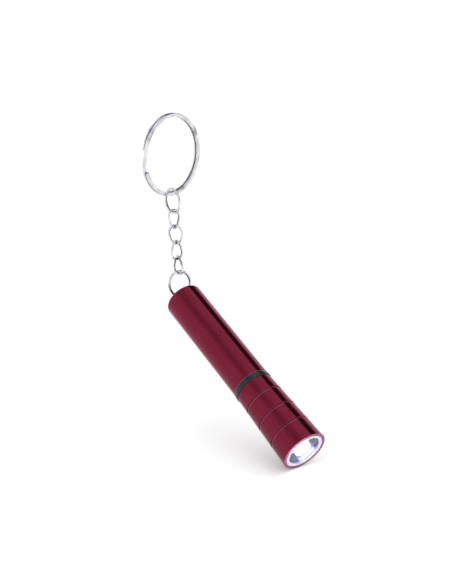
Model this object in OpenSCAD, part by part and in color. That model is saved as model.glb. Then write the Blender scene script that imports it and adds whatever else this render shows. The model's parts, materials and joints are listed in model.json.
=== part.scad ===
// Keychain flashlight: a split key ring, a short chain and a twist-to-light aluminium torch.
// Units are millimetres, +Z is up. The origin is the centre of the split ring's hole.
// The torch hangs from the chain in the XZ plane, with its head towards +X.

/* [Split ring] */
// Outer diameter of the split key ring
ring_od = 25; // [20:0.5:32]
// Width of the flat ring wire, across the ring's plane
ring_wire_w = 1.35; // [1:0.05:1.8]
// Thickness of one turn of the ring wire
ring_turn_t = 0.75; // [0.5:0.05:1]
// Turn of the ring's plane about the vertical, from +X
ring_yaw = 104; // [80:1:110]

/* [Chain] */
// Lean of the whole chain from the vertical, its foot towards +X
chain_lean = 7.5; // [0:0.5:15]
// Outer height of a small chain link
link_h = 6.4; // [5.6:0.1:8]
// Outer width of a small chain link
link_w = 5.4; // [4.8:0.1:6]
// Wire diameter of a small chain link
link_wire = 0.8; // [0.6:0.05:0.9]
// Outer diameter of the jump ring at the split ring
top_jump_od = 8.2; // [7:0.1:10]
// Outer diameter of the jump ring at the torch's tail
tail_jump_od = 8.5; // [7.5:0.1:10]
// Wire diameter of both jump rings
jump_wire = 0.9; // [0.7:0.05:1]

/* [Torch] */
// Dip of the torch's head below the horizontal
torch_dip = 27; // [0:1:60]
// Length of the torch from its tail face to its front rim
torch_len = 65.3; // [62:0.1:75]
// Diameter of the barrel
barrel_d = 11.75; // [11.5:0.05:13]
// Length of the barrel's full-width part
barrel_len = 38.7; // [37:0.1:40]
// Diameter of the head at its front rim
rim_d = 13.8; // [13.2:0.1:16]
// Width of the black seal ring between barrel and head
seal_w = 1.75; // [1.2:0.05:2]

/* [Power] */
// Diameter of a button cell
cell_d = 7.9; // [7.5:0.1:7.9]
// Height of a button cell
cell_h = 3.6; // [3.2:0.1:3.6]

/* [Hidden] */
$fn = 96;

bright = "silver";
burgundy = [0.36, 0.04, 0.12];
brass = [0.8, 0.62, 0.28];

// Chain: the pivots lie along one leaning line, measured from the middle of the split ring's wire.
turn_gap = 0.06;
ring_mid_r = (ring_od - ring_wire_w) / 2;
ring_reach = 0.95;      // from the middle of the ring wire to the jump ring's inner wall
hook_gap = 0.05;        // air between two hooked wires
link_yaws = [104, 24, 104, -1];
link_count = len(link_yaws);
top_jump_top = -(ring_reach + jump_wire / 2);
top_jump_foot = top_jump_top + top_jump_od - jump_wire;
mixed_hook = (jump_wire + link_wire) / 2 + hook_gap;
link_pitch = link_h - 2 * link_wire - hook_gap;
first_link_top = top_jump_foot - mixed_hook;
last_link_foot = first_link_top + link_pitch * (link_count - 1) + link_h - link_wire;
tail_jump_top = last_link_foot - mixed_hook;
tail_jump_foot = tail_jump_top + tail_jump_od - jump_wire;

// Torch: z runs along its axis, from the tail face at 0 to the front rim at torch_len.
eye_lift = 1.35;        // the eye's centre, behind the tail face
barrel_r = barrel_d / 2;
rim_r = rim_d / 2;
tail_round = 1;
floor_t = 2.2;          // thickness of the barrel's tail wall
shank_r = 1;
bore_r = 4.35;
neck_root_r = 4.75;
thread_r = 4.9;
thread_depth = 0.25;
thread_pitch = 0.8;
neck_end = barrel_len + 7.3;
running_gap = 0.05;
slip_gap = 0.03;
seal_r = barrel_r + 0.15;
head_z = barrel_len + seal_w + running_gap;
head_bore_r = thread_r + running_gap;
mouth_r = 5.55;         // bore of the head's mouth
seat_r = 5.95;          // wider seat at the front, for the front ring
flat_r = 6.72;          // outer edge of the rim's flat front
web_z = neck_end + 4.2; // the head's inner web, which the reflector stands on
web_t = 2.3;
groove_first = 45.6;
groove_pitch = 6.4;
groove_half = 0.3;
groove_depth = 0.28;
front_ring_z = torch_len - 0.7;
front_ring_t = 0.68;
front_ring_bore_r = 5.05;
lens_t = 0.65;
led_r = 2.5;
led_flange_r = 2.9;
led_z = neck_end + 9.7; // the lamp's dome ends just behind the window
led_body_h = 6.1;
holder_z = 30.2;
holder_flange_end = neck_end + 3.5;
holder_nose_r = 3.2;
washer_t = 0.3;
button_t = 0.8;
button_r = 2;
leg_w = 0.5;
leg_x = 1.27;
cathode_z = neck_end + 0.65;
cathode_reach = 4.3;
sleeve_z = 13;
stack_z = holder_z - 0.2 - 4 * cell_h;
spring_wire = 0.45;
spring_turns = 7;
spring_foot_r = 3.3;
spring_top_r = 2.5;

// ---- Shared shapes ----

// A wire bent into an upright loop: two half-round ends and two straight sides, its ends cut apart by
// cut degrees at the angle cut_at of a round loop, or at the foot's start of a long one.
module wire_loop(height, width, wire, cut_at, cut) {
    bend_r = (width - wire) / 2;
    half = (height - width) / 2;
    rotate([90, 0, 0])
        if (half > 0) {
            translate([0, half, 0])
                rotate_extrude(angle = 180)
                    translate([bend_r, 0]) circle(d = wire);
            translate([0, -half, 0])
                rotate_extrude(angle = 180 - cut, start = 180)
                    translate([bend_r, 0]) circle(d = wire);
            for (side = [-1, 1])
                translate([side * bend_r, half, 0])
                    rotate([90, 0, 0])
                        cylinder(h = 2 * half, d = wire);
        } else {
            rotate_extrude(angle = 360 - cut, start = cut_at + cut / 2)
                translate([bend_r, 0]) circle(d = wire);
        }
}

// Places a loop on the chain, with the middle of its top wire at the distance top along it.
module on_chain(top, pitch_h, yaw) {
    translate([0, 0, -ring_mid_r])
        rotate([0, -chain_lean, 0])
            translate([0, 0, -top - pitch_h / 2])
                rotate([0, 0, yaw])
                    children();
}

// Places what is drawn along the torch's own axis: the eye hangs on the tail jump ring's foot wire.
module on_torch() {
    translate([0, 0, -ring_mid_r])
        rotate([0, -chain_lean, 0])
            translate([0, 0, -tail_jump_foot])
                rotate([0, chain_lean + 90 + torch_dip, 0])
                    translate([0, 0, eye_lift])
                        children();
}

// A ring or disc that lies across the torch's axis.
module disc(z, thickness, outer_r, inner_r = 0) {
    translate([0, 0, z])
        difference() {
            cylinder(h = thickness, r = outer_r);
            if (inner_r > 0)
                translate([0, 0, -1])
                    cylinder(h = thickness + 2, r = inner_r);
        }
}

// Points of a quarter round about (x, y), from one angle to another.
function arc(x, y, r, from, to, steps = 8) =
    [for (i = [0:steps]) let (a = from + (to - from) * i / steps) [x + r * cos(a), y + r * sin(a)]];

// ---- Key ring and chain ----

// One turn of the ring wire as a flat arc with softened edges; side is its layer.
module ring_turn(side, from, sweep) {
    edge = 0.2;
    rotate_extrude(angle = sweep, start = from)
        translate([ring_mid_r, side * (ring_turn_t + turn_gap) / 2])
            polygon([
                [-ring_wire_w / 2, -ring_turn_t / 2 + edge],
                [-ring_wire_w / 2 + edge, -ring_turn_t / 2],
                [ring_wire_w / 2 - edge, -ring_turn_t / 2],
                [ring_wire_w / 2, -ring_turn_t / 2 + edge],
                [ring_wire_w / 2, ring_turn_t / 2 - edge],
                [ring_wire_w / 2 - edge, ring_turn_t / 2],
                [-ring_wire_w / 2 + edge, ring_turn_t / 2],
                [-ring_wire_w / 2, ring_turn_t / 2 - edge]]);
}

// Two turns of one wire: each has a free end, and a short crossing joins the near turn to the far one.
module split_ring() {
    near_start = 206;
    crossing = 188;
    crossing_sweep = 8;
    far_end = 175;
    color(bright)
        rotate([0, 0, ring_yaw])
            rotate([90, 0, 0]) {
                ring_turn(1, near_start, crossing + 360 - near_start);
                ring_turn(-1, crossing + crossing_sweep, far_end + 360 - crossing - crossing_sweep);
                rotate_extrude(angle = crossing_sweep, start = crossing)
                    translate([ring_mid_r, 0])
                        square([ring_wire_w, 2 * ring_turn_t + turn_gap], center = true);
            }
}

module jump_ring_top() {
    color(bright)
        on_chain(top_jump_top, top_jump_od - jump_wire, 0)
            wire_loop(top_jump_od, top_jump_od, jump_wire, 236, 7);
}

module chain_link(i) {
    color(bright)
        on_chain(first_link_top + link_pitch * i, link_h - link_wire, link_yaws[i])
            wire_loop(link_h, link_w, link_wire, 0, 8);
}

module jump_ring_tail() {
    color(bright)
        on_chain(tail_jump_top, tail_jump_od - jump_wire, 90)
            wire_loop(tail_jump_od, tail_jump_od, jump_wire, 320, 6);
}

// ---- Barrel and what it holds ----

// A cross-drilled eye on a riveted shank. The jump ring passes through the eye along Y.
module tail_eyelet() {
    eye_r = 1.7;
    eye_t = 1.6;
    hole_r = 0.8;
    base_r = 2.2;
    base_t = 0.35;
    head_t = 0.5;
    color(bright)
        on_torch()
            difference() {
                union() {
                    intersection() {
                        translate([0, eye_t / 2, -eye_lift])
                            rotate([90, 0, 0])
                                cylinder(h = eye_t, r = eye_r);
                        translate([-eye_r, -eye_t, -2 * eye_r - base_t / 2])
                            cube([2 * eye_r, 2 * eye_t, 2 * eye_r]);
                    }
                    translate([-eye_r, -eye_t / 2, -eye_lift])
                        cube([2 * eye_r, eye_t, eye_lift - base_t / 2]);
                    disc(-base_t, base_t, base_r);
                    disc(-base_t / 2, floor_t + washer_t + base_t / 2, shank_r);
                    disc(floor_t + washer_t, head_t, shank_r + 0.6);
                }
                translate([0, eye_t, -eye_lift])
                    rotate([90, 0, 0])
                        cylinder(h = 2 * eye_t, r = hole_r);
            }
}

module eyelet_washer() {
    color(bright)
        on_torch()
            disc(floor_t, washer_t, shank_r + 1.2, shank_r + slip_gap);
}

// A one-piece tube, closed at its tail, with a ridged neck that the head turns on.
module barrel() {
    ridge_start = head_z + 0.6;
    ridges = floor((neck_end - 0.8 - ridge_start) / thread_pitch);
    color(burgundy)
        on_torch()
            rotate_extrude()
                polygon(concat(
                    [[shank_r + slip_gap, 0]],
                    arc(barrel_r - tail_round, tail_round, tail_round, -90, 0),
                    [[barrel_r, barrel_len], [neck_root_r, barrel_len], [neck_root_r, ridge_start]],
                    [for (i = [0:ridges - 1], half = [0, 1])
                        [thread_r - thread_depth * (1 - half), ridge_start + (i + half / 2) * thread_pitch]],
                    [[thread_r - thread_depth, neck_end - 0.4], [thread_r - 0.4, neck_end],
                     [bore_r, neck_end], [bore_r, floor_t], [shank_r + slip_gap, floor_t]]));
}

// A rubber band with rounded edges and a slightly crowned outside.
module seal_ring() {
    edge = 0.35;
    crown = 0.04;
    color("black")
        on_torch()
            rotate_extrude()
                polygon(concat(
                    [[neck_root_r + slip_gap, barrel_len + slip_gap]],
                    arc(seal_r - crown - edge, barrel_len + slip_gap + edge, edge, -90, 0, 4),
                    [[seal_r, barrel_len + (slip_gap + seal_w) / 2]],
                    arc(seal_r - crown - edge, barrel_len + seal_w - edge, edge, 0, 90, 4),
                    [[neck_root_r + slip_gap, barrel_len + seal_w]]));
}

// A compression spring as a round wire carried along a helix, with its first and last turns closed.
module tail_spring() {
    sides = 8;
    steps = 16;
    closed_pitch = spring_wire + 0.05;
    rise = stack_z - floor_t - spring_wire;
    open_pitch = (rise - 2 * closed_pitch) / (spring_turns - 2);
    last = spring_turns * steps;
    function lift(turn) =
        turn < 1 ? turn * closed_pitch
        : turn > spring_turns - 1 ? rise - (spring_turns - turn) * closed_pitch
        : closed_pitch + (turn - 1) * open_pitch;
    function coil_r(turn) = spring_foot_r + (spring_top_r - spring_foot_r) * turn / spring_turns;
    points = [for (i = [0:last], k = [0:sides - 1])
        let (turn = i / steps, a = 360 * turn, b = 360 * k / sides,
            r = coil_r(turn) + spring_wire / 2 * cos(b))
        [r * cos(a), r * sin(a), floor_t + spring_wire / 2 + lift(turn) + spring_wire / 2 * sin(b)]];
    walls = [for (i = [0:last - 1], k = [0:sides - 1])
        let (next = (k + 1) % sides)
        [i * sides + k, i * sides + next, (i + 1) * sides + next, (i + 1) * sides + k]];
    caps = [[for (k = [0:sides - 1]) sides - 1 - k], [for (k = [0:sides - 1]) last * sides + k]];
    color(bright)
        on_torch()
            polyhedron(points, concat(walls, caps));
}

module battery_sleeve() {
    color("ivory")
        on_torch()
            disc(sleeve_z, holder_z - 0.2 - sleeve_z, bore_r - slip_gap, cell_d / 2 + slip_gap);
}

// A button cell: the can faces the head, and the smaller cap faces the spring.
module cell(i) {
    cap_r = cell_d / 2 - 0.85;
    cap_t = 0.4;
    edge = 0.3;
    color("lightsteelblue")
        on_torch()
            translate([0, 0, stack_z + i * cell_h])
                rotate_extrude()
                    polygon(concat(
                        [[0, 0], [cap_r, 0], [cap_r, cap_t], [cell_d / 2 - edge, cap_t]],
                        arc(cell_d / 2 - edge, cap_t + edge, edge, -90, 0, 4),
                        arc(cell_d / 2 - edge, cell_h - edge, edge, 0, 90, 4),
                        [[0, cell_h]]));
}

// ---- Light module ----

module contact_button() {
    color(brass)
        on_torch()
            disc(holder_z - 0.2, button_t, button_r);
}

// A plug that fills the barrel's mouth and keeps the lamp's two legs apart. Its long nose reaches through the
// head's web into the cup and holds the lamp by its flange.
module led_holder() {
    slot = leg_w + 0.2;
    seat_depth = 0.9;
    color("whitesmoke")
        on_torch()
            difference() {
                union() {
                    disc(holder_z, neck_end - holder_z, bore_r - running_gap);
                    disc(neck_end, holder_flange_end - neck_end, thread_r - running_gap);
                    disc(holder_flange_end, led_z + seat_depth - holder_flange_end, holder_nose_r);
                }
                disc(holder_z - 1, button_t + 0.8, button_r + running_gap);
                disc(led_z, 5, led_flange_r + running_gap);
                translate([leg_x - slot / 2, -slot / 2, holder_z])
                    cube([slot, slot, led_z - holder_z + 1]);
                translate([-leg_x - slot / 2, -slot / 2, cathode_z])
                    cube([slot, slot, led_z - cathode_z + 1]);
                translate([-cathode_reach - slot / 2, -slot / 2, cathode_z - 0.1])
                    cube([cathode_reach - leg_x + slot, slot, holder_flange_end - cathode_z + 1]);
            }
}

module anode_leg() {
    foot = holder_z - 0.2 + button_t;
    color(bright)
        on_torch()
            translate([leg_x - leg_w / 2, -leg_w / 2, foot])
                cube([leg_w, leg_w, led_z - foot]);
}

// The second leg bends out to the rim of the holder and up to the contact ring.
module cathode_leg() {
    color(bright)
        on_torch()
            rotate([90, 0, 0])
                translate([0, 0, -leg_w / 2])
                    linear_extrude(leg_w)
                        polygon([
                            [-leg_x + leg_w / 2, led_z],
                            [-leg_x - leg_w / 2, led_z],
                            [-leg_x - leg_w / 2, cathode_z + leg_w],
                            [-cathode_reach + leg_w / 2, cathode_z + leg_w],
                            [-cathode_reach + leg_w / 2, holder_flange_end],
                            [-cathode_reach - leg_w / 2, holder_flange_end],
                            [-cathode_reach - leg_w / 2, cathode_z],
                            [-leg_x + leg_w / 2, cathode_z]]);
}

module led() {
    flange_t = 1;
    color([0.92, 0.95, 1], 0.6)
        on_torch()
            translate([0, 0, led_z])
                rotate_extrude()
                    polygon(concat(
                        [[0, 0], [led_flange_r, 0], [led_flange_r, flange_t], [led_r, flange_t]],
                        arc(0, led_body_h, led_r, 0, 90, 12)));
}

module contact_ring() {
    color(brass)
        on_torch()
            disc(holder_flange_end, washer_t, thread_r - running_gap, 3.6);
}

// ---- Head ----

module contact_washer() {
    color(brass)
        on_torch()
            disc(holder_flange_end + washer_t + running_gap, washer_t + running_gap, thread_r, 3.6);
}

// The flared outside of the head, by distance along the torch.
function head_r(z) = barrel_r + (rim_r - 0.04 - barrel_r) * (z - head_z) / (torch_len - head_z);

// A turned shell: a threaded rear, an inner web, a wide mouth, three fine grooves and a bevelled rim.
module head_shell() {
    edge = 0.15;
    bevel = 0.12;
    color(burgundy)
        on_torch()
            rotate_extrude()
                polygon(concat(
                    [[head_bore_r, head_z], [barrel_r - edge, head_z], [barrel_r, head_z + edge]],
                    [for (i = [0:2], p = [[-groove_half, 0], [-0.06, 1], [0.06, 1], [groove_half, 0]])
                        let (z = groove_first + groove_pitch * i + p[0])
                        [head_r(z) - groove_depth * p[1], z]],
                    [[head_r(torch_len - bevel), torch_len - bevel],
                     [flat_r, torch_len], [seat_r + edge, torch_len],
                     [seat_r, torch_len - edge], [seat_r, front_ring_z], [mouth_r, front_ring_z],
                     [mouth_r, web_z + web_t], [3.3, web_z + web_t],
                     [3.3, web_z], [head_bore_r, web_z]]));
}

// A deep metallised cup: its radius squared grows evenly with depth, as a paraboloid's does.
module reflector() {
    foot_r = holder_nose_r + 0.15;
    cup_r = front_ring_bore_r - 0.15;
    foot_z = web_z + web_t;
    flange_t = 0.8;
    wall = 0.6;
    steps = 14;
    function cup(t) = sqrt(foot_r * foot_r + (cup_r * cup_r - foot_r * foot_r) * t);
    color("gainsboro")
        on_torch()
            rotate_extrude()
                polygon(concat(
                    [for (i = [0:steps]) [cup(i / steps), foot_z + (front_ring_z - foot_z) * i / steps]],
                    [[mouth_r - running_gap, front_ring_z],
                     [mouth_r - running_gap, front_ring_z - flange_t]],
                    [for (i = [steps - 2:-1:0])
                        [cup(i / steps) + wall, foot_z + (front_ring_z - foot_z) * i / steps]]));
}

// The clear window lies on the cup's front flange, inside the front ring.
module lens() {
    color([0.9, 0.95, 1], 0.3)
        on_torch()
            disc(front_ring_z, lens_t, front_ring_bore_r - slip_gap);
}

module front_ring() {
    color("white")
        on_torch()
            disc(front_ring_z, front_ring_t, seat_r - slip_gap, front_ring_bore_r);
}

split_ring();
jump_ring_top();
for (i = [0:link_count - 1])
    chain_link(i);
jump_ring_tail();
tail_eyelet();
eyelet_washer();
barrel();
seal_ring();
tail_spring();
battery_sleeve();
for (i = [0:3])
    cell(i);
contact_button();
led_holder();
anode_leg();
cathode_leg();
led();
contact_ring();
contact_washer();
head_shell();
reflector();
lens();
front_ring();
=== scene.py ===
# %% [markdown]
# # A keychain torch: looks around a fixed frame
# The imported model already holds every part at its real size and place. This lesson loads it, measures it,
# and builds finely shaped skins for the parts that show: bent nickel wire, a turned and anodised tube, a
# rubber seal, a mirrored cup and a lit lamp. Places and main sizes are measured on the loaded parts, and
# the finer measures are named where they are first needed.

# %% Load the frame
import json
import math

import bpy
import numpy as np
from mathutils import Matrix, Vector

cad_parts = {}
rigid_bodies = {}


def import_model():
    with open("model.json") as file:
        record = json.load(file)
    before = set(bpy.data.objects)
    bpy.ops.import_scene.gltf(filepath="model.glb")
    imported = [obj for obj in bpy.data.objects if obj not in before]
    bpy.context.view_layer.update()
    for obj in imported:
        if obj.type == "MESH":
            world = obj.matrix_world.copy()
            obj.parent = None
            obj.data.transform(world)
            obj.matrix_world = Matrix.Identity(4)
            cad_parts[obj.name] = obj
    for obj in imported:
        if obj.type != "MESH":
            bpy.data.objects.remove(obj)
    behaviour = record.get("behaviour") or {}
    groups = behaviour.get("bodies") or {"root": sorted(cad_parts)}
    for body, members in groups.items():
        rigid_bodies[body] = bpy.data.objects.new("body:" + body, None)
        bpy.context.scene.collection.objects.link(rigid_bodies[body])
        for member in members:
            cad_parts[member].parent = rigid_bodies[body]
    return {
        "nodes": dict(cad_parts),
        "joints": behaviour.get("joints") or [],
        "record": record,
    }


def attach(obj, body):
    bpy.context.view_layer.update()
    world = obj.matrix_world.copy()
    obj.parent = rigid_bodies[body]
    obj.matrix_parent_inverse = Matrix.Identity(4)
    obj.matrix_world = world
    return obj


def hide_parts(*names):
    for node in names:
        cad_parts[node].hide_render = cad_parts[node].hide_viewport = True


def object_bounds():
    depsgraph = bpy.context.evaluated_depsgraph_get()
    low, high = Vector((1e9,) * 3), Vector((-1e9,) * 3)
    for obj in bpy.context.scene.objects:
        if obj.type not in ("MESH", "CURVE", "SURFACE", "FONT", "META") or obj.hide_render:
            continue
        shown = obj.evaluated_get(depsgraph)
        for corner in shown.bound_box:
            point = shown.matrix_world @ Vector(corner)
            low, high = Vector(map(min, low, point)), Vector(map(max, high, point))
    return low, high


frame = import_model()
cad_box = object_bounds()
MM = 0.001
joints = {joint["name"]: joint for joint in frame["joints"]}

# %% [markdown]
# ## Measuring the parts
# A part's place is in its vertices. Projecting them on a direction gives how far the part reaches along
# it, which works for parts that lie at a slant, where a plain bounding box would not.

# %% Directions and reaches


def unit(vector):
    """The same direction, one long: the vector divided by its length."""
    vector = np.asarray(vector, float)
    return vector / np.linalg.norm(vector)


def vertices(node):
    """All vertices of a loaded part as one array of points, in metres."""
    mesh = frame["nodes"][node].data
    flat = np.zeros(3 * len(mesh.vertices), np.float32)
    mesh.vertices.foreach_get("co", flat)
    return flat.reshape(-1, 3).astype(float)


def reach(node, direction, start=(0, 0, 0)):
    """How far a part reaches from a start point along a direction: its lowest and highest value, in mm."""
    along = (vertices(node) - np.asarray(start, float)) @ unit(direction) / MM
    return along.min(), along.max()


def joint_axis(name):
    """The direction that a joint turns about."""
    return unit(joints[name]["axis"])


# %% [markdown]
# The torch is a body of revolution, so it gets a frame of its own: z runs from the middle of its tail face
# to its front rim, and y is the axis that it swings about. A turned part then needs only z and a radius.

# %% The torch's own frame
torch_z = joint_axis("head_twist")
torch_y = joint_axis("torch_swing")
torch_x = np.cross(torch_y, torch_z)
twist_point = np.array(joints["head_twist"]["pos_m"])
tail_point = twist_point + torch_z * reach("barrel", torch_z, twist_point)[0] * MM


def on_torch(points):
    """Points given in the torch's own x, y and z, in mm, as points of the row frame, in metres."""
    basis = np.array([torch_x, torch_y, torch_z])
    return tail_point + points * MM @ basis


def turned_size(node):
    """A turned part's start and end along the torch, and its least and greatest radius, in mm."""
    local = (vertices(node) - tail_point) / MM
    along = local @ torch_z
    radius = np.linalg.norm(local - along[:, None] * torch_z, axis=1)
    return along.min(), along.max(), radius.min(), radius.max()


for part in ("barrel", "seal_ring", "head_shell", "reflector", "lens", "front_ring", "led"):
    print(part, "z %.2f to %.2f mm, radius %.2f to %.2f mm" % turned_size(part))

# %% [markdown]
# ## From a grid of points to a closed mesh
# Every new piece is a grid: rows run along the piece and columns run round it. The helper joins the grid
# into quads, closes its ends with a fan, checks by the signed volume that the faces look outwards, and
# stores a map in millimetres, so that a machining mark can follow the surface.

# %% Skin a grid


def skin(name, rows, row_mm, column_mm, closed=False, wear_and_painted_light_grid=None, sharp_deg=38):
    """A closed mesh over rows x columns of points. Columns always join up; rows join up when closed, and
    otherwise the first and last rows end in a fan. row_mm and column_mm are distances along and round."""
    count_r, count_c = rows.shape[:2]
    points = rows.reshape(-1, 3)
    r, c = np.meshgrid(np.arange(count_r if closed else count_r - 1), np.arange(count_c), indexing="ij")
    r, c = r.ravel(), c.ravel()
    quad = np.stack([(r + dr) % count_r * count_c + (c + dc) % count_c
                     for dr, dc in ((0, 0), (0, 1), (1, 1), (1, 0))], axis=1)
    quad_uv = np.stack([np.stack([row_mm[r + dr], column_mm[c + dc]], axis=1)
                        for dr, dc in ((0, 0), (0, 1), (1, 1), (1, 0))], axis=1)
    fan = np.zeros((0, 3), int)
    fan_uv = np.zeros((0, 3, 2))
    if not closed:
        around = np.arange(count_c)
        after = (around + 1) % count_c
        last = (count_r - 1) * count_c
        hub = len(points)
        points = np.vstack([points, rows[0].mean(0), rows[-1].mean(0)])
        fan = np.vstack([np.stack([around * 0 + hub, after, around], axis=1),
                         np.stack([around * 0 + hub + 1, last + around, last + after], axis=1)])
        turn = column_mm[around], column_mm[around + 1]
        first_uv = np.stack([np.stack([turn[0] * 0 + row_mm[0], turn[0]], axis=1)] * 3, axis=1)
        last_uv = np.stack([np.stack([turn[0] * 0 + row_mm[count_r - 1], turn[0]], axis=1)] * 3, axis=1)
        fan_uv = np.vstack([first_uv, last_uv])
    corners = points[quad]
    volume = np.einsum("ij,ij->i", corners[:, 0], np.cross(corners[:, 1], corners[:, 2])).sum()
    volume += np.einsum("ij,ij->i", corners[:, 0], np.cross(corners[:, 2], corners[:, 3])).sum()
    fans = points[fan]
    volume += np.einsum("ij,ij->i", fans[:, 0], np.cross(fans[:, 1], fans[:, 2])).sum()
    if volume < 0:
        quad, quad_uv, fan, fan_uv = quad[:, ::-1], quad_uv[:, ::-1], fan[:, ::-1], fan_uv[:, ::-1]
    mesh = bpy.data.meshes.new(name)
    mesh.from_pydata(points.tolist(), [], quad.tolist() + fan.tolist())
    layer = mesh.uv_layers.new(name="surface")
    layer.data.foreach_set("uv", np.concatenate([quad_uv.ravel(), fan_uv.ravel()]).astype(np.float32))
    mesh.polygons.foreach_set("use_smooth", np.ones(len(mesh.polygons), bool))
    mesh.set_sharp_from_angle(angle=math.radians(sharp_deg))
    # The mark attribute holds wear, painted highlights and painted shade, and the lamp's painted glow.
    edge = mesh.attributes.new("wear_and_painted_light", "FLOAT", "POINT")
    painted_light_and_wear = np.zeros(len(points), np.float32)
    if wear_and_painted_light_grid is not None:
        spread = np.broadcast_to(np.reshape(wear_and_painted_light_grid, (count_r, -1)), (count_r, count_c))
        painted_light_and_wear[: count_r * count_c] = spread.ravel()
    edge.data.foreach_set("value", painted_light_and_wear)
    mesh.update()
    piece = bpy.data.objects.new(name, mesh)
    bpy.context.scene.collection.objects.link(piece)
    print(name, len(mesh.polygons), "faces,", round(abs(volume) / 6 / MM**3, 2), "mm3")
    return piece


# %% [markdown]
# ## Turned outlines
# A turner's drawing gives corners and the radius that breaks each of them. The helper rounds every corner
# with a true arc and adds a point close to each arc's ends, so the flats stay flat when shaded smooth.

# %% Round the corners of an outline


def rounded(corners, closed=True, arc_steps=6, hold=0.12):
    """An outline from corners (z, radius, round, mark), in mm; the marks hold wear and painted light and
    shade. Each corner becomes an arc tangent to both of its sides, and hold adds a point that far past each
    arc. A corner with no round, and each end of an open outline, stays a single point. Returns z, radius and
    mark arrays."""
    spots = np.array([corner[:2] for corner in corners], float)
    outline, painted_light_and_wear = [], []
    for i, corner in enumerate(corners):
        if len(corner) < 3 or not corner[2] or (not closed and i in (0, len(corners) - 1)):
            outline.append(spots[i : i + 1])
            painted_light_and_wear.append([0])
            continue
        here, before, after = spots[i], spots[i - 1], spots[(i + 1) % len(spots)]
        to_before, to_after = unit(before - here), unit(after - here)
        half = math.acos(np.clip(to_before @ to_after, -1, 1)) / 2
        run = min(corner[2] / math.tan(half),
                  0.45 * np.linalg.norm(before - here), 0.45 * np.linalg.norm(after - here))
        radius = run * math.tan(half)
        centre = here + unit(to_before + to_after) * radius / math.sin(half)
        start, end = here + to_before * run - centre, here + to_after * run - centre
        share = np.linspace(0, 1, arc_steps + 1)[:, None]
        sweep = math.pi - 2 * half
        arc = (np.sin((1 - share) * sweep) * start + np.sin(share * sweep) * end) / math.sin(sweep)
        spare_before = 0.5 * np.linalg.norm(before - here) - run
        spare_after = 0.5 * np.linalg.norm(after - here) - run
        pad_before = here + to_before * (run + min(hold, 0.6 * spare_before))
        pad_after = here + to_after * (run + min(hold, 0.6 * spare_after))
        outline.append(np.vstack([pad_before, centre + arc, pad_after]))
        mark = corner[3] if len(corner) > 3 else 0
        painted_light_and_wear.append(np.concatenate([[0], mark * np.sin(share[:, 0] * math.pi) ** 0.5, [0]]))
    outline = np.vstack(outline)
    return outline[:, 0], outline[:, 1], np.concatenate(painted_light_and_wear)


# %% [markdown]
# Long straight stretches are cut into short ones, so that a thread or a dent has points to move, and then
# the outline is carried round the torch's axis. A shape function may change the radius as it goes round.
# A tube or a ring has a closed outline; a solid part's outline starts and ends beside the axis.

# %% Carry an outline round the axis


def divided(z, radius, painted_light_and_wear, closed, step, fine=None):
    """The same outline with more points: no two are further apart than step, in mm. fine is a stretch
    (z from, z to, step) with steps of its own, for a straight side that lies wholly within it."""
    ends = slice(None) if closed else slice(0, -1)
    gaps = np.hypot(np.roll(z, -1) - z, np.roll(radius, -1) - radius)[ends]
    steps = np.full(len(gaps), step)
    if fine is not None:
        within = (z >= fine[0]) & (z <= fine[1])
        steps[(within & np.roll(within, -1))[ends]] = fine[2]
    pieces = np.maximum(1, np.ceil(gaps / steps)).astype(int)
    spot = np.repeat(np.arange(len(gaps)), pieces)
    share = (np.arange(len(spot)) - np.repeat(np.cumsum(pieces) - pieces, pieces)) / pieces[spot]
    after = (spot + 1) % len(z)
    made = [v[spot] * (1 - share) + v[after] * share for v in (z, radius, painted_light_and_wear)]
    return made if closed else [np.append(m, v[-1]) for m, v in zip(made, (z, radius, painted_light_and_wear))]


def spun(name, z, radius, painted_light_and_wear, closed=True, columns=160, shape=None):
    """Each outline point (z, radius) goes round as (radius cos a, radius sin a, z). shape(z, a, radius)
    may return another radius."""
    angle = np.linspace(0, 2 * math.pi, columns, endpoint=False)
    z_grid, a_grid = np.meshgrid(z, angle, indexing="ij")
    r_grid = np.repeat(radius[:, None], columns, axis=1)
    if shape is not None:
        r_grid = shape(z_grid, a_grid, r_grid)
    grid = np.stack([r_grid * np.cos(a_grid), r_grid * np.sin(a_grid), z_grid], axis=2)
    around = np.linspace(0, 2 * math.pi * radius.max(), columns + 1)
    lengths = np.hypot(np.roll(z, -1) - z, np.roll(radius, -1) - radius)
    along = np.concatenate([[0], np.cumsum(lengths)])
    return skin(name, on_torch(grid), along, around, closed=closed, wear_and_painted_light_grid=painted_light_and_wear)


def turned(name, corners, closed=True, step=1.5, fine=None, own_painted_light_and_wear=None, arc_steps=6, **carry):
    """A turned part from a drawing's corners (z, radius, round, mark), where the marks hold wear and painted
    light. own_painted_light_and_wear(z, radius) gives whole stretches of the outline a mark of their own,
    wherever it is not 0."""
    z, radius, painted_light_and_wear = divided(*rounded(corners, closed, arc_steps), closed, step, fine)
    if own_painted_light_and_wear is not None:
        own = own_painted_light_and_wear(z, radius)
        painted_light_and_wear = np.where(own == 0, painted_light_and_wear, own)
    return spun(name, z, radius, painted_light_and_wear, closed=closed, **carry)


# %% [markdown]
# ## Finishes
# A finish is a Principled shader whose plain values sit on its own sockets, with a few patterns over it:
# a slow change of colour, a change of gloss, and a fine relief. These three helpers add the patterns.

# %% Helpers for finishes


def new_finish(name, **values):
    """A new material and its node tree. Each value goes straight on the shader's socket of that name."""
    material = bpy.data.materials.new(name)
    material.use_nodes = True
    tree = material.node_tree
    shader = tree.nodes["Principled BSDF"]
    for socket, value in values.items():
        shader.inputs[socket.replace("_", " ")].default_value = value
    return material, tree, shader


def add(tree, kind, values=None, **settings):
    """A node of a kind, with settings on the node and values on its sockets, by name or number."""
    made = tree.nodes.new("ShaderNode" + kind)
    for key, value in settings.items():
        setattr(made, key, value)
    for key, value in (values or {}).items():
        made.inputs[key].default_value = value
    return made


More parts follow.
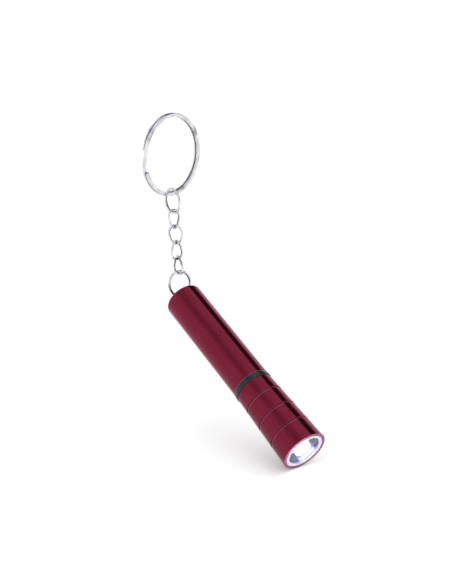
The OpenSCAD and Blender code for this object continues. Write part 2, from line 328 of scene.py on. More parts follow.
def grain(tree, stretch, detail=3.0, source="Object"):
    """Soft noise over a piece. stretch is how many grains fit in a metre of Object space, or in a
    millimetre of the piece's own map, along each axis."""
    place = add(tree, "TexCoord")
    scale = add(tree, "Mapping", {"Scale": stretch})
    noise = add(tree, "TexNoise", {"Scale": 1.0, "Detail": detail, "Roughness": 0.55})
    tree.links.new(place.outputs[source], scale.inputs["Vector"])
    tree.links.new(scale.outputs["Vector"], noise.inputs["Vector"])
    return noise.outputs["Fac"]


def between(tree, factor, low, high, start=0.3, end=0.7):
    """A number that goes from low to high as the factor goes from start to end."""
    span = add(tree, "MapRange", {"From Min": start, "From Max": end, "To Min": low, "To Max": high})
    tree.links.new(factor, span.inputs["Value"])
    return span.outputs["Result"]


def tint(tree, factor, dark, light, start=0.3, end=0.7):
    """A colour that goes from dark to light as the factor goes from start to end."""
    ramp = add(tree, "ValToRGB")
    for element, place, colour in zip(ramp.color_ramp.elements, (start, end), (dark, light)):
        element.position = place
        element.color = (*colour, 1)
    tree.links.new(factor, ramp.inputs["Fac"])
    return ramp.outputs["Color"]


def relief(tree, shader, layers):
    """Fine relief from (height, depth in metres) layers, one bump over the other."""
    normal = None
    for height, depth in layers:
        bump = add(tree, "Bump", {"Strength": 1.0, "Distance": depth})
        tree.links.new(height, bump.inputs["Height"])
        if normal is not None:
            tree.links.new(normal, bump.inputs["Normal"])
        normal = bump.outputs["Normal"]
    tree.links.new(normal, shader.inputs["Normal"])


# %% [markdown]
# ### Nickel-plated wire
# The split ring and the chain are hard-drawn steel wire under bright nickel. The die leaves faint lines
# along the wire, the plating is a little cloudy, and handling leaves short scratches across it. The inside
# of each bend gets painted shade, and so do the split ring's two layers where they face each other.
# Scattered dark patches are painted reflections, standing in for the mirror images of dark things.

# %% Nickel


def nickel_finish():
    """Bright plated wire: cloudy brightness, drawn lines along the wire, scattered scratches, painted shade
    inside each bend and between the split ring's layers, and painted dark reflections here and there."""
    material, tree, shader = new_finish("nickel_plate", Metallic=1.0)
    cloud = grain(tree, (500, 500, 500), detail=4)
    lines = grain(tree, (0.35, 9, 1), source="UV")
    scratch = grain(tree, (5, 0.7, 1), detail=1, source="UV")
    pits = grain(tree, (5200, 5200, 5200), detail=1)
    bright = tint(tree, cloud, (0.50, 0.50, 0.54), (0.74, 0.74, 0.78))
    shaded = add(tree, "Attribute", attribute_name="wear_and_painted_light")
    # Painted shade: the mark darkens the wire towards near black inside each bend and between layers.
    inside = between(tree, shaded.outputs["Fac"], 0.0, 1.0, 0.15, 0.85)
    mix = add(tree, "Mix", {"B": (0.08, 0.08, 0.09, 1)}, data_type="RGBA")
    # Painted reflections: a slow noise lays dark patches on the wire, standing in for mirrored dark things.
    painted_dark_reflections = between(tree, grain(tree, (150, 150, 150), detail=2), 0.0, 0.55, 0.58, 0.66)
    dark = add(tree, "Math", operation="MAXIMUM")
    for a, b in ((inside, dark.inputs[0]), (painted_dark_reflections, dark.inputs[1]),
                 (dark.outputs[0], mix.inputs["Factor"]), (bright, mix.inputs["A"]),
                 (mix.outputs["Result"], shader.inputs["Base Color"])):
        tree.links.new(a, b)
    tree.links.new(between(tree, cloud, 0.16, 0.07), shader.inputs["Roughness"])
    relief(tree, shader, [(lines, 3e-6), (between(tree, scratch, 0, 1, 0.62, 0.7), 2e-6), (pits, 1.5e-6)])
    return material


nickel = nickel_finish()

# %% [markdown]
# ### Burgundy anodised aluminium
# The tube and the head are turned from bar, polished, dyed and sealed. Dyed metal tints what it mirrors,
# so the colour sits on a metallic shader: straight on it is deep red, and at a grazing angle it turns
# pale. Turning marks run round the part, and a paler colour on the corners stands for dye rubbed thin in a
# pocket. On the groove lips the paler colour is a painted highlight, and the groove bottoms get painted
# shade.

# %% Burgundy


def burgundy_finish():
    """Dyed polished metal: uneven dye, turning marks that follow the outline, a paler colour as worn dye on
    the corners and the rim and as a painted highlight on the groove lips, and painted shade where the mark
    is below 0."""
    material, tree, shader = new_finish("burgundy_anodised", Metallic=1.0, Coat_Weight=1.0, Coat_IOR=1.2,
                                        Coat_Roughness=0.04, Specular_Tint=(0.78, 0.5, 0.6, 1))
    dye = grain(tree, (160, 160, 160), detail=4)
    smears = grain(tree, (420, 420, 420), detail=5)
    marks = grain(tree, (14, 0.02, 1), detail=2, source="UV")
    specks = grain(tree, (2600, 2600, 2600), detail=2)
    colour = tint(tree, dye, (0.142, 0.0040, 0.0205), (0.160, 0.0060, 0.0265))
    # Marks above 0 mix in a pale colour: worn dye on corners and rim, a painted highlight on the groove lips.
    painted_light_and_wear = add(tree, "Attribute", attribute_name="wear_and_painted_light")
    rub = add(tree, "Math", operation="MULTIPLY")
    tree.links.new(painted_light_and_wear.outputs["Fac"], rub.inputs[0])
    tree.links.new(between(tree, smears, 0.55, 1.0, 0.35, 0.6), rub.inputs[1])
    mix = add(tree, "Mix", {"B": (0.46, 0.19, 0.30, 1)}, data_type="RGBA")
    tree.links.new(rub.outputs[0], mix.inputs["Factor"])
    tree.links.new(colour, mix.inputs["A"])
    # Painted shade: marks below 0, in the groove bottoms, darken the colour towards near black.
    painted_groove_shade = add(tree, "Mix", {"B": (0.02, 0.002, 0.005, 1)}, data_type="RGBA")
    tree.links.new(between(tree, painted_light_and_wear.outputs["Fac"], 0.85, 0.0, -1.0, -0.1), painted_groove_shade.inputs["Factor"])
    tree.links.new(mix.outputs["Result"], painted_groove_shade.inputs["A"])
    tree.links.new(painted_groove_shade.outputs["Result"], shader.inputs["Base Color"])
    tree.links.new(between(tree, smears, 0.10, 0.2), shader.inputs["Roughness"])
    relief(tree, shader, [(marks, 2.5e-6), (between(tree, specks, 0, 1, 0.66, 0.74), 3e-6), (dye, 1.2e-5)])
    return material


burgundy = burgundy_finish()

# %% [markdown]
# ### Rubber, plastics and clear parts
# The seal is a moulded rubber band with a soft shine and a little dust. The window and the lamp are clear
# mouldings. The milky front ring gets a painted glow, which stands in for the lamp lighting it from behind.
# The cup behind them is plastic with a vaporised metal coat, which is never quite smooth; its blue tint is
# a painted reflection of the lamp's cool light.

# %% Rubber, mirror, window and glow


def rubber_finish():
    """Black rubber: patchy gloss, moulding grain and grey dust in the low spots."""
    material, tree, shader = new_finish("seal_rubber", IOR=1.42)
    dust = grain(tree, (700, 700, 700), detail=5)
    mould = grain(tree, (6000, 6000, 6000), detail=2)
    black = tint(tree, dust, (0.002, 0.0025, 0.0025), (0.010, 0.011, 0.012))
    tree.links.new(black, shader.inputs["Base Color"])
    tree.links.new(between(tree, dust, 0.12, 0.25), shader.inputs["Roughness"])
    relief(tree, shader, [(mould, 4e-6)])
    return material


def mirror_finish():
    """A metallised cup: a blue tint painted in for the lamp's cool light that it mirrors, a slightly rippled
    skin and a haze that varies.
    """
    material, tree, shader = new_finish("cup_mirror", Metallic=1.0, Specular_Tint=(0.32, 0.36, 0.6, 1))
    haze = grain(tree, (900, 900, 900), detail=3)
    ripple = grain(tree, (420, 420, 420), detail=1)
    # Painted reflection: the dark blue colour stands in for the lamp's cool light seen in the cup.
    tree.links.new(tint(tree, haze, (0.16, 0.18, 0.44), (0.27, 0.30, 0.64)), shader.inputs["Base Color"])
    tree.links.new(between(tree, haze, 0.1, 0.2), shader.inputs["Roughness"])
    relief(tree, shader, [(ripple, 4e-5)])
    return material


def window_finish():
    """A clear polished disc with faint handling haze. Its low alpha and weak mirroring are a liberty: they
    keep the white surround's image on it from veiling the cup."""
    material, tree, shader = new_finish("window_clear", Transmission_Weight=1.0, IOR=1.4,
                                        Specular_IOR_Level=0.1, Alpha=0.3)
    smear = grain(tree, (350, 350, 350), detail=4)
    tree.links.new(tint(tree, smear, (0.94, 0.96, 1.0), (0.99, 0.995, 1.0)), shader.inputs["Base Color"])
    tree.links.new(between(tree, smear, 0.0, 0.05), shader.inputs["Roughness"])
    return material


def glow_finish(name, colour, strength, tip_strength, dark, light):
    """A lit milky plastic: it gives off light of its own, from strength where its wear_and_painted_light mark
    is 0 to tip_strength where it is 1, and still shows a faint mottling. On the front ring, which is no lamp,
    this glow is painted light."""
    material, tree, shader = new_finish(name, Roughness=0.35, Subsurface_Weight=0.2, Subsurface_Scale=0.001)
    mottle = grain(tree, (800, 800, 800), detail=3)
    share = add(tree, "Attribute", attribute_name="wear_and_painted_light")
    tree.links.new(between(tree, share.outputs["Fac"], strength, tip_strength, 0.0, 1.0),
                   shader.inputs["Emission Strength"])
    tree.links.new(tint(tree, mottle, dark, light), shader.inputs["Base Color"])
    given_off = tint(tree, mottle, tuple(0.9 * v for v in colour), colour)
    tree.links.new(given_off, shader.inputs["Emission Color"])
    relief(tree, shader, [(mottle, 3e-6)])
    return material


rubber = rubber_finish()
mirror = mirror_finish()
window = window_finish()
# The front ring is no lamp: its glow is painted light, standing in for the lamp shining through it.
painted_glow_ring = glow_finish("front_ring_painted_glow", (0.93, 0.86, 1.0), 0.1, 0.1,
                        (0.44, 0.41, 0.52), (0.54, 0.50, 0.62))
lamp_glow = glow_finish("lamp_lit", (0.86, 0.90, 1.0), 0.3, 12.0,
                        (0.28, 0.30, 0.46), (0.40, 0.43, 0.62))

# %% [markdown]
# ### Finishes for what is inside
# These parts show only when the torch is taken apart: rolled brass, stamped steel, spring wire and
# moulded plastic. Each still gets its colour variation, its gloss and its own tool marks.

# %% Brass, steel, spring wire, white plastic


def inner_finish(name, dark, light, metallic, rough, stretch, depth):
    """A plain working finish: cloudy colour, patchy gloss, and tool marks stretched as the process does."""
    material, tree, shader = new_finish(name, Metallic=metallic)
    cloud = grain(tree, (380, 380, 380), detail=5)
    marks = grain(tree, stretch, detail=3)
    tree.links.new(tint(tree, cloud, dark, light), shader.inputs["Base Color"])
    tree.links.new(between(tree, cloud, rough, rough * 1.7), shader.inputs["Roughness"])
    relief(tree, shader, [(marks, depth)])
    return material


brass = inner_finish("rolled_brass", (0.58, 0.38, 0.13), (0.80, 0.60, 0.28), 1.0, 0.2,
                     (900, 900, 9000), 4e-6)
steel = inner_finish("stamped_steel", (0.50, 0.50, 0.52), (0.68, 0.68, 0.70), 1.0, 0.22,
                     (600, 8000, 600), 3e-6)
spring_steel = inner_finish("spring_wire", (0.36, 0.36, 0.37), (0.6, 0.6, 0.6), 1.0, 0.25,
                            (7000, 900, 900), 5e-6)
plastic = inner_finish("moulded_white", (0.70, 0.70, 0.66), (0.84, 0.84, 0.81), 0.0, 0.35,
                       (4200, 4200, 4200), 6e-6)

# %% [markdown]
# Each new piece is handed over in the same way: it gets its finish, stands for its loaded part, and rides
# on that part's body.

# %% Hand a piece over
body_nodes = frame["record"]["behaviour"]["bodies"]
body_of_node = {node: body for body, nodes in body_nodes.items() for node in nodes}


def hand_over(piece, material, node):
    """Gives the piece its material, hides the part it stands for, and lets it ride on that part's body."""
    piece.data.materials.append(material)
    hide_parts(node)
    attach(piece, body_of_node[node])


# %% [markdown]
# ## Wire pieces
# A jump ring is a piece of round wire closed into a loop, with its two cut ends facing each other. It is
# built as wire is bent: a loop line, and a round section carried along it. The section is carried in the
# loop's own plane, so it never twists, and it shrinks a little at both ends where the cutter left a chamfer.

# %% A section carried along a bent line


def section(columns, half_w, half_t, power=2.0):
    """A rounded section: x = half_w |cos|^(2/power), y = half_t |sin|^(2/power), each with its own sign.
    Power 2 is a round wire, and a higher power is a flat wire with rounded edges."""
    a = np.linspace(0, 2 * math.pi, columns, endpoint=False)
    x = half_w * np.sign(np.cos(a)) * np.abs(np.cos(a)) ** (2 / power)
    y = half_t * np.sign(np.sin(a)) * np.abs(np.sin(a)) ** (2 / power)
    return x, y


def even(line, steps):
    """The same line with its points an equal length apart, worked out from the running length."""
    length = np.concatenate([[0], np.cumsum(np.linalg.norm(np.diff(line, axis=0), axis=1))])
    spots = np.linspace(0, length[-1], steps)
    return np.stack([np.interp(spots, length, line[:, k]) for k in range(3)], axis=1), spots


def painted_inside_shade(across, up, share):
    """Painted shade, full along the middle of the bend's inside, and none on its outside."""
    return 0.8 * np.clip(-across, 0, 1) ** 3 + 0 * share


def bent_wire(name, line, plane_normal, half_w, half_t, power=2.0, columns=28, steps=260, chamfer=0.1,
              shade=painted_inside_shade):
    """A wire along a line, in mm. The section's x points out of the bend and its y along the plane's
    normal. Over the last chamfer of length the section is drawn in like a quarter round. shade gives the
    painted shade from the place across and up the section (-1 to 1) and the share of the length run."""
    line, spots = even(line, steps)
    ends = np.array([0.0, 0.15, 0.4, 0.7, 1.0]) * chamfer
    extra = np.concatenate([ends, spots[-1] - ends])
    spots_all = np.unique(np.concatenate([spots[(spots > chamfer) & (spots < spots[-1] - chamfer)], extra]))
    line = np.stack([np.interp(spots_all, spots, line[:, k]) for k in range(3)], axis=1)
    tangent = np.gradient(line, axis=0)
    tangent /= np.linalg.norm(tangent, axis=1)[:, None]
    outward = np.cross(tangent, plane_normal)
    outward /= np.linalg.norm(outward, axis=1)[:, None]
    upright = np.cross(outward, tangent)
    from_end = np.clip(np.minimum(spots_all, spots_all[-1] - spots_all) / chamfer, 0, 1)
    draw = 1 - 0.3 * (1 - np.sqrt(1 - (1 - from_end) ** 2))
    x, y = section(columns, half_w, half_t, power)
    offset = x[:, None] * outward[:, None] + y[:, None] * upright[:, None]
    rows = line[:, None] + draw[:, None, None] * offset
    around = np.linspace(0, 2 * math.pi * half_w, columns + 1)
    shading = shade(x / half_w, y / half_t, (spots_all / spots_all[-1])[:, None])
    return skin(name, rows * MM, spots_all, around, wear_and_painted_light_grid=shading, sharp_deg=60)


# %% [markdown]
# Each loop of the chain is measured before it is bent: its height along the chain, its width along the
# next joint's axis, which lies in the loop's plane, and its wire across that plane. Real loops are a touch
# uneven, so each has a slightly flattened oval of its own.

# %% Bend the chain
chain_top = np.array(joints["top_jump_swing"]["pos_m"])
chain_up = unit(chain_top - np.array(joints["torch_swing"]["pos_m"]))
next_joint = {joint["parent"]: joint["name"] for joint in frame["joints"]}
CUT_ANGLE = {"jump_ring_top": 236, "jump_ring_tail": 320}
LINK_CUT_ANGLE = 318
CUT_GAP_MM = 0.16


def loop_line(node, cut_angle, power, taper=0.0):
    """The middle of a loop's wire as an oval of that power about the part's own middle, from one side of
    the cut round to the other, and the loop's plane and wire radius. A taper narrows the oval evenly
    towards its top, or towards its foot when it is negative."""
    side = joint_axis(next_joint[node])
    side *= np.sign(side @ (1, 0.2, 0)) or 1
    normal = unit(np.cross(side, chain_up))
    spans = [reach(node, axis) for axis in (side, chain_up, normal)]
    wire = spans[2][1] - spans[2][0]
    middle = sum(axis * (low + high) / 2 for axis, (low, high) in zip((side, chain_up, normal), spans))
    half_side = (spans[0][1] - spans[0][0] - wire) / 2
    half_up = (spans[1][1] - spans[1][0] - wire) / 2
    gap = (CUT_GAP_MM / 2) / max(half_side, half_up)
    a = np.linspace(math.radians(cut_angle) + gap, math.radians(cut_angle + 360) - gap, 720)
    x = half_side * np.sign(np.cos(a)) * np.abs(np.cos(a)) ** (2 / power)
    y = half_up * np.sign(np.sin(a)) * np.abs(np.sin(a)) ** (2 / power)
    x *= 1 - taper * y / half_up - abs(taper) / 6
    return middle + x[:, None] * side + y[:, None] * chain_up, normal, wire / 2


for node, cut_angle in CUT_ANGLE.items():
    line, normal, wire_r = loop_line(node, cut_angle, power=2.0)
    hand_over(bent_wire(node + "_wire", line, normal, wire_r, wire_r), nickel, node)

for number, (power, taper) in enumerate(((2.0, -0.3), (2.0, -0.08), (2.05, 0.3), (2.0, 0.35)), start=1):
    node = f"chain_link_{number}"
    line, normal, wire_r = loop_line(node, LINK_CUT_ANGLE, power, taper)
    hand_over(bent_wire(node + "_wire", line, normal, wire_r, wire_r, steps=200), nickel, node)

# %% [markdown]
# ## The split ring
# A split ring is one flat spring wire wound nearly twice round. It lies in two layers, and where it passes
# from one to the other it makes a small S that a thumbnail finds. Each layer ends in a cut tip close to
# that S. The line is therefore a circle whose height over the ring's plane changes with the angle.

# %% Wind the split ring
NEAR_TIP = 199
CROSSING = (173, 195)
FAR_TIP = 166
TURN_GAP_MM = 0.06
ring_side = -joint_axis("top_jump_swing")
ring_up = np.array([0.0, 0.0, 1.0])
ring_normal = np.cross(ring_side, ring_up)
flat = vertices("split_ring") / MM
flat_radius = np.hypot(flat @ ring_side, flat @ ring_up)
ring_low, ring_high = reach("split_ring", ring_normal)
turn_t = (ring_high - ring_low - TURN_GAP_MM) / 2
wire_w = flat_radius.max() - flat_radius.min()
print("split ring %.2f mm across, wire %.2f x %.2f mm" % (2 * flat_radius.max(), wire_w, turn_t))


def smooth(value, low, high):
    """0 below low and 1 above high, with a smooth S between them: 3 t t - 2 t t t."""
    t = np.clip((value - low) / (high - low), 0, 1)
    return t * t * (3 - 2 * t)


def ring_line():
    """Nearly two turns: radius steady, and height from the near layer to the far one at the crossing. Both
    tips spring a little inwards."""
    degrees = np.linspace(NEAR_TIP, FAR_TIP + 720, 2400)
    layer = (turn_t + TURN_GAP_MM) / 2
    height = layer * (1 - 2 * smooth(degrees, CROSSING[0] + 360, CROSSING[1] + 360))
    tips = 1 - smooth(degrees, NEAR_TIP, NEAR_TIP + 25) + smooth(degrees, FAR_TIP + 695, FAR_TIP + 720)
    radius = flat_radius.max() - wire_w / 2 - 0.12 * tips
    a = np.radians(degrees)
    return (radius * np.cos(a))[:, None] * ring_side + (radius * np.sin(a))[:, None] * ring_up \
        + height[:, None] * ring_normal


def painted_seam_shade(across, up, share):
    """Painted shade where the two layers face each other, and a little of it inside the ring. The first half
    of the wire is the near layer, which has the far one under it."""
    towards = np.where(share < 0.5, -up, up) * smooth(abs(share - 0.5), 0.02, 0.06)
    return np.clip(2.2 * towards - 1.0, 0, 1) + 0.3 * np.clip(-across, 0, 1) ** 2


split_ring = bent_wire("split_ring_coil", ring_line(), ring_normal, wire_w / 2, turn_t / 2,
                       power=3.2, columns=40, steps=620, chamfer=0.18, shade=painted_seam_shade)
hand_over(split_ring, nickel, "split_ring")

# %% [markdown]
# ## The eye on the tail
# The jump ring passes through a small pressed eye that is riveted into the tube's tail. The eye is a band
# bent round the hole: a closed section goes round the hole, and its outer edge follows a round top and
# square shoulders. A turned foot and rivet hold it.

# %% The eye and its rivet
eye_z = (np.array(joints["torch_swing"]["pos_m"]) - tail_point) @ torch_z / MM
EYE_R, EYE_HOLE_R, EYE_HALF_T, EYE_SHOULDER_R = 1.7, 0.8, 0.8, 1.9
FOOT_R, FOOT_T, SHANK_R = 2.2, 0.35, 1.0
CENTRE_R = 0.15  # a solid part's outline starts and ends this far from the axis, and a fan closes it
rivet_top = turned_size("tail_eyelet")[1]


def eye_band(angle_steps=144, section_steps=32):
    """Round the hole by angle a, a rounded section reaches from the hole's radius to the outer edge. The
    edge is the eye's radius behind the hole, and a rounded square, |x/R|^8 + |z/drop|^8 = 1, before it."""
    a = np.linspace(0, 2 * math.pi, angle_steps, endpoint=False)
    drop = -eye_z - FOOT_T / 2
    square = (np.abs(np.cos(a) / EYE_R) ** 8 + np.abs(np.sin(a) / drop) ** 8) ** (-1 / 8)
    outer = np.where(np.sin(a) < 0, EYE_R, np.minimum(square, EYE_SHOULDER_R))
    across, thick = section(section_steps, 0.5, EYE_HALF_T, power=4.5)
    radius = (outer[:, None] + EYE_HOLE_R) / 2 + (outer[:, None] - EYE_HOLE_R) * across
    rows = np.stack([radius * np.cos(a)[:, None], np.repeat(thick[None], angle_steps, 0),
                     eye_z + radius * np.sin(a)[:, None]], axis=2)
    lengths = np.linspace(0, 2 * math.pi * EYE_R, angle_steps + 1)
    return skin("tail_eye", on_torch(rows), lengths, np.linspace(0, 6, section_steps + 1), closed=True)


hand_over(eye_band(), nickel, "tail_eyelet")
rivet = turned("tail_eye_rivet", [
    (-FOOT_T, CENTRE_R), (-FOOT_T, FOOT_R, 0.12), (-0.01, FOOT_R, 0.05), (-0.01, SHANK_R, 0.05),
    (rivet_top - 0.5, SHANK_R, 0.05), (rivet_top - 0.5, SHANK_R + 0.6, 0.12),
    (rivet_top, SHANK_R + 0.35, 0.2), (rivet_top, CENTRE_R)], closed=False, columns=96, step=0.5)
hand_over(rivet, nickel, "tail_eyelet")

# %% [markdown]
# ## The tube
# The tube is turned from bar: a rounded tail, a long straight side, a shoulder for the seal and a thin
# neck that the head screws on. The neck's thread is one helix: the radius falls and rises with z and with
# the angle together, as a triangle wave that moves on by one pitch each turn.

# %% Turn the tube
_, neck_end, _, barrel_r = turned_size("barrel")
seal_start, seal_end, seal_bore, seal_r = turned_size("seal_ring")
head_start, head_end, _, rim_r = turned_size("head_shell")
shoulder = seal_start - 0.03
TAIL_ROUND, FLOOR_T, BORE_R, NECK_R = 1.0, 2.2, 4.35, 4.75
THREAD_R, THREAD_DEPTH, THREAD_PITCH = 4.9, 0.25, 0.8
THREAD_Z = (head_start + 0.6, neck_end - 0.8)
print("tube: shoulder at %.2f mm, neck ends at %.2f mm" % (shoulder, neck_end))


def helix_thread(z, a, radius):
    """Between the thread's ends the radius drops by depth times a triangle wave of z / pitch - a / turn."""
    phase = (z / THREAD_PITCH - a / (2 * math.pi)) % 1
    wave = np.abs(2 * phase - 1)
    inside = smooth(z, THREAD_Z[0], THREAD_Z[0] + 0.5) * (1 - smooth(z, THREAD_Z[1] - 0.5, THREAD_Z[1]))
    outer = radius > BORE_R + 0.3
    return radius - np.where(outer, THREAD_DEPTH * wave * inside, 0)


barrel = turned("barrel_tube", [
    (0, SHANK_R + 0.03, 0.05), (0, barrel_r, TAIL_ROUND, 0.35), (shoulder, barrel_r, 0.12, 0.8),
    (shoulder, NECK_R, 0.1), (THREAD_Z[0], NECK_R), (THREAD_Z[0] + 0.05, THREAD_R),
    (THREAD_Z[1], THREAD_R), (neck_end, THREAD_R - 0.4, 0.1), (neck_end, BORE_R, 0.1),
    (FLOOR_T, BORE_R, 0.3), (FLOOR_T, SHANK_R + 0.03, 0.05)],
    step=1.2, fine=(THREAD_Z[0], THREAD_Z[1], 0.1), columns=192, shape=helix_thread)
hand_over(barrel, burgundy, "barrel")

# %% [markdown]
# ## The seal
# The rubber band between tube and head is a little proud of both. Its outside is slightly crowned and its
# edges are well rounded, so it catches a thin line of light along each edge.

# %% Mould the seal
SEAL_ROUND, SEAL_CROWN = 0.38, 0.04
seal = turned("seal_band", [
    (seal_start, seal_bore, 0.1), (seal_start, seal_r - SEAL_CROWN, SEAL_ROUND),
    ((seal_start + seal_end) / 2, seal_r, 0.5), (seal_end, seal_r - SEAL_CROWN, SEAL_ROUND),
    (seal_end, seal_bore, 0.1)], step=0.3, columns=192)
hand_over(seal, rubber, "seal_ring")

# %% [markdown]
# ## The head
# The head flares evenly from the tube's width to its rim. Three fine V grooves cut with a pointed tool run
# round it. Their front lips carry a painted highlight, their bottoms a painted shade, and the rim is flat
# with a broken outer edge. Inside are the threaded rear, the web that the cup stands on, and the front
# ring's seat.

# %% Turn the head
GROOVE_FIRST, GROOVE_PITCH, GROOVE_HALF, GROOVE_DEPTH = 45.6, 6.4, 0.3, 0.28
RIM_BEVEL, FLAT_R, SEAT_R, MOUTH_R = 0.12, 6.74, 5.95, 5.55
WEB_START, WEB_END, WEB_R = neck_end + 4.2, neck_end + 6.5, 3.3
ring_start, ring_end, ring_bore, ring_r = turned_size("front_ring")


def head_r(z):
    """The head's outside: the radius grows evenly from the tube's at its rear to the rim's at its front."""
    return barrel_r + (rim_r - barrel_r) * (z - head_start) / (head_end - head_start)


def head_painted_light_and_wear(z, radius):
    """A painted highlight on each groove's front lip, wear on the rim's flat front, and painted shade
    in each groove's bottom.
    """
    from_groove = (z - GROOVE_FIRST + GROOVE_PITCH / 2) % GROOVE_PITCH - GROOVE_PITCH / 2
    in_grooves = (z > GROOVE_FIRST - 1) & (z < GROOVE_FIRST + 2 * GROOVE_PITCH + 1)
    outside = in_grooves & (radius > head_r(z) - GROOVE_DEPTH - 0.05)
    lip = outside & (from_groove > GROOVE_HALF - 0.08) & (from_groove < GROOVE_HALF + 0.13)
    bottom = outside & (from_groove > 0.1 - GROOVE_HALF) & (from_groove < 0.12)
    flat = (z > head_end - 0.02) & (radius > SEAT_R + 0.05)
    return 1.0 * lip - 0.8 * bottom + 0.7 * flat


# Each groove corner is offset, depth, rounding and mark; the marks on the groove edges are painted
# highlights.
groove_shape = ((-GROOVE_HALF, 0, 0.06, 0.2), (0, GROOVE_DEPTH, 0.05, 0), (GROOVE_HALF, 0, 0.06, 0.6))
groove_corners = [(GROOVE_FIRST + GROOVE_PITCH * i + offset,
                   head_r(GROOVE_FIRST + GROOVE_PITCH * i + offset) - depth, rounding, painted_light_and_wear)
                  for i in range(3) for offset, depth, rounding, painted_light_and_wear in groove_shape]
head = turned("head_shell_turned", [
    (head_start, THREAD_R + 0.05, 0.1), (head_start, barrel_r, 0.16, 0.8), *groove_corners,
    (head_end - RIM_BEVEL, rim_r, 0.06, 1.0), (head_end, FLAT_R, 0.06, 1.0), (head_end, SEAT_R, 0.05, 0.8),
    (ring_start, SEAT_R, 0.05), (ring_start, MOUTH_R, 0.05), (WEB_END, MOUTH_R, 0.2), (WEB_END, WEB_R, 0.2),
    (WEB_START, WEB_R, 0.2), (WEB_START, THREAD_R + 0.05, 0.2)], step=1.0, columns=224,
    own_painted_light_and_wear=head_painted_light_and_wear)
hand_over(head, burgundy, "head_shell")

# %% [markdown]
# ## The cup, the window and the front ring
# A torch's mirror is a paraboloid: the square of its radius grows evenly with depth, so light from its
# focus leaves in a beam. The wall is the same curve moved outwards, and a flange at the front carries the
# window. The front ring is pressed in round it.

# %% Shape the cup
cup_start, cup_end, cup_foot_r, flange_r = turned_size("reflector")
CUP_WALL, FLANGE_T = 0.55, 0.8
cup_rim_r = ring_bore - 0.15
depth = np.linspace(0, 1, 60)
cup_z = cup_start + (cup_end - cup_start) * depth
cup_r = np.sqrt(cup_foot_r ** 2 + (cup_rim_r ** 2 - cup_foot_r ** 2) * depth)
back = depth[::-1] * (cup_end - FLANGE_T - 0.3 - cup_start) / (cup_end - cup_start)
back_z = cup_start + (cup_end - cup_start) * back
back_r = np.sqrt(cup_foot_r ** 2 + (cup_rim_r ** 2 - cup_foot_r ** 2) * back) + CUP_WALL
flange_z = np.array([cup_end, cup_end, cup_end - 0.06, cup_end - FLANGE_T + 0.06, cup_end - FLANGE_T])
flange = np.array([cup_rim_r + 0.05, flange_r - 0.06, flange_r, flange_r, flange_r - 0.06])
outline_z = np.concatenate([cup_z, flange_z, back_z])
outline_r = np.concatenate([cup_r, flange, back_r])
cup = spun("reflector_cup", outline_z, outline_r, outline_z * 0, columns=192)
hand_over(cup, mirror, "reflector")

# %% Set the window and the front ring
lens_start, lens_end, _, lens_r = turned_size("lens")
lens = turned("window_disc", [
    (lens_start, CENTRE_R), (lens_start, lens_r, 0.06), (lens_end, lens_r, 0.06), (lens_end, CENTRE_R)],
    closed=False, step=0.4, columns=128)
hand_over(lens, window, "lens")

front_ring = turned("front_ring_moulded", [
    (ring_start, ring_bore, 0.1), (ring_start, ring_r, 0.1), (ring_end, ring_r, 0.12),
    (ring_end, ring_bore, 0.1)], step=0.3, columns=160)
hand_over(front_ring, painted_glow_ring, "front_ring")

# %% [markdown]
# ## The lamp
# The lamp is a standard clear moulding: a flange with one flat, a straight side and a round dome. A real
# one is lit by a chip low in its body. Here the glow is painted along its height instead, strongest in the
# dome, so that a bright core shows through the window.

# %% Mould the lamp
lamp_start, lamp_end, _, lamp_flange_r = turned_size("led")
LAMP_R, LAMP_FLANGE_T, LAMP_FLAT = 2.5, 1.0, 2.62
BELOW_TIP = (0.0, 0.7, 1.5, 2.6, 4.0, 5.0, 6.0, 9.0)
GLOW_THERE = (1.0, 0.8, 0.12, 0.02, 0.07, 0.04, 0.01, 0.01)


def one_flat(z, a, radius):
    """On the flange the radius is held back to a flat side: the flat's distance over cos a."""
    flat = np.maximum(LAMP_FLAT / np.maximum(np.cos(a), 0.05), LAMP_R)
    return np.where(z < lamp_start + LAMP_FLANGE_T + 0.01, np.minimum(radius, flat), radius)


def lamp_light(z, radius):
    """How strongly each height glows: most in the dome, and a little round the chip low in the body."""
    return np.interp(lamp_end - z, BELOW_TIP, GLOW_THERE)


lamp = turned("lamp_body", [
    (lamp_start, CENTRE_R), (lamp_start, lamp_flange_r, 0.1),
    (lamp_start + LAMP_FLANGE_T, lamp_flange_r, 0.15), (lamp_start + LAMP_FLANGE_T, LAMP_R, 0.05),
    (lamp_end, LAMP_R, LAMP_R - CENTRE_R - 0.05), (lamp_end, CENTRE_R)],
    closed=False, step=0.35, arc_steps=18, columns=96, shape=one_flat, own_painted_light_and_wear=lamp_light)
hand_over(lamp, lamp_glow, "led")

# %% [markdown]
# ## Inside the tube
# Four button cells stand in a plastic sleeve over a cone of spring wire. The cells are drawn cans with a
# rolled edge round a smaller cap. The spring is a wire on a helix whose radius shrinks as it rises, with
# its first and last turns lying flat.

# %% Press the cells
CELL_CAP_INSET, CELL_CAP_T = 0.85, 0.4
for number in range(1, 5):
    low, high, _, cell_r = turned_size(f"cell_{number}")
    cap_r = cell_r - CELL_CAP_INSET
    cell = turned(f"cell_{number}_can", [
        (low, CENTRE_R), (low, cap_r, 0.12), (low + CELL_CAP_T, cap_r, 0.1),
        (low + CELL_CAP_T, cap_r + 0.12, 0.05), (low + CELL_CAP_T - 0.08, cap_r + 0.3, 0.1),
        (low + CELL_CAP_T, cell_r, 0.3), (high, cell_r, 0.25),
        (high, cell_r - 0.7, 0.1), (high - 0.04, cell_r - 0.8, 0.05), (high - 0.04, CENTRE_R)],
        closed=False, step=0.6, columns=128)
    hand_over(cell, steel, f"cell_{number}")

